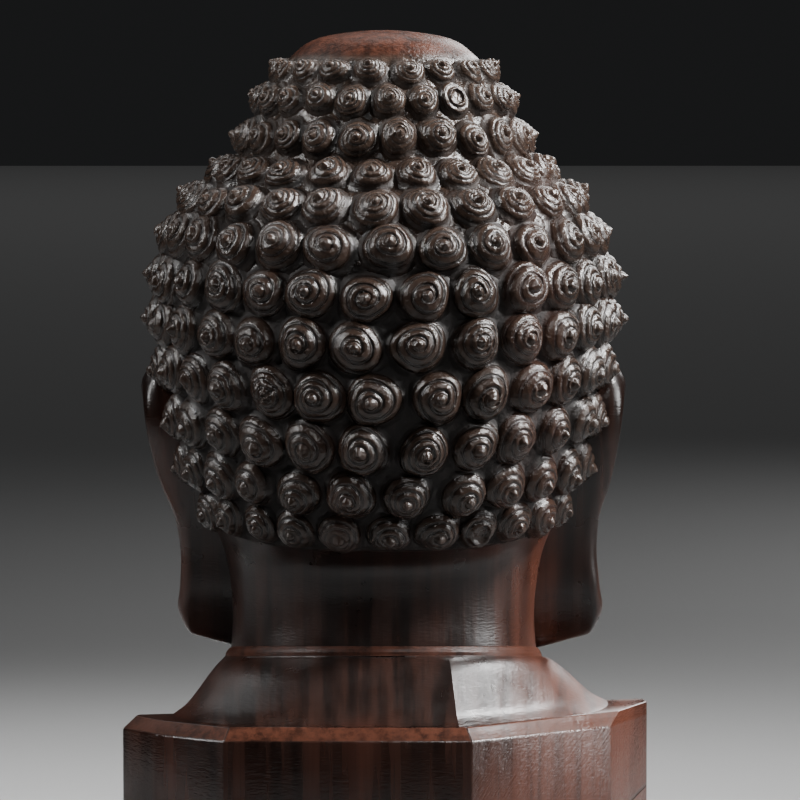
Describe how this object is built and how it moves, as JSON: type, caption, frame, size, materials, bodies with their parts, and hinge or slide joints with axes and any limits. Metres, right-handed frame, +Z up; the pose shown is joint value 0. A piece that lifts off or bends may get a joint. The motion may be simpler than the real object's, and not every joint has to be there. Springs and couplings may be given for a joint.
{
  "type": "buddha head figurine",
  "caption": "Carved hardwood Buddha head with spiral snail curls, domed crown, long ear lobes and calm face, on a faceted pedestal cut from the same block.",
  "frame": {"origin": "on the pedestal's flat underside, at the foot of the head's vertical axis", "axes": "+Z up, the face looks along -Y, the back of the head along +Y, +X to the head's own left"},
  "size_m": [0.0939, 0.0956, 0.15],
  "materials": {
    "dark_hardwood": "dark brown waxed hardwood, satin"
  },
  "bodies": {
    "root": {"buddha_head": "dark_hardwood"}
  },
  "joints": []
}
